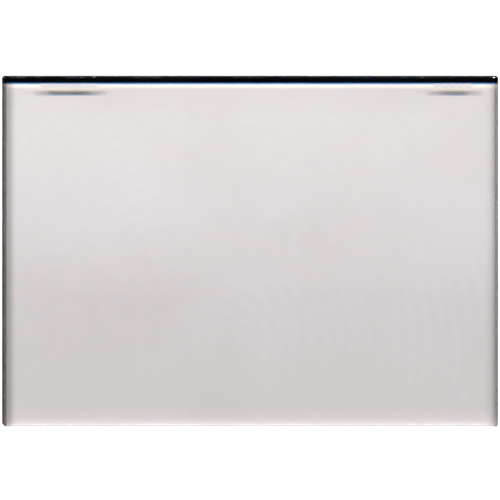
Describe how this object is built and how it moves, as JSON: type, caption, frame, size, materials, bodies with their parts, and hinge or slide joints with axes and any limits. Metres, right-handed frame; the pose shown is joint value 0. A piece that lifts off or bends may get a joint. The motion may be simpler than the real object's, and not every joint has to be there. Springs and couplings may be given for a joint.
{
  "type": "rectangular optical filter",
  "caption": "Thin clear rectangular laminated glass filter plate with ground edges, small dubbed corners and two small etched marks by one long side.",
  "frame": {"origin": "middle of the rear face, which the filter lies on", "axes": "+X along the long sides, +Y towards the long side that carries the etched marks, +Z out of the front face, which is the etched one"},
  "size_m": [0.1436, 0.1016, 0.004],
  "materials": {
    "plate_glass": "optically polished water-white glass with anti-reflection coated faces and polished rim",
    "bond_resin": "clear optical resin, index-matched to the glass",
    "edge_lacquer": "thin dark brown edge-sealing lacquer",
    "etched_frost": "fine etched frost, unfilled"
  },
  "bodies": {
    "root": {"front_plate": "plate_glass", "rear_plate": "plate_glass", "bond_layer": "bond_resin", "edge_seal": "edge_lacquer", "left_etched_mark": "etched_frost", "right_etched_mark": "etched_frost"}
  },
  "joints": []
}
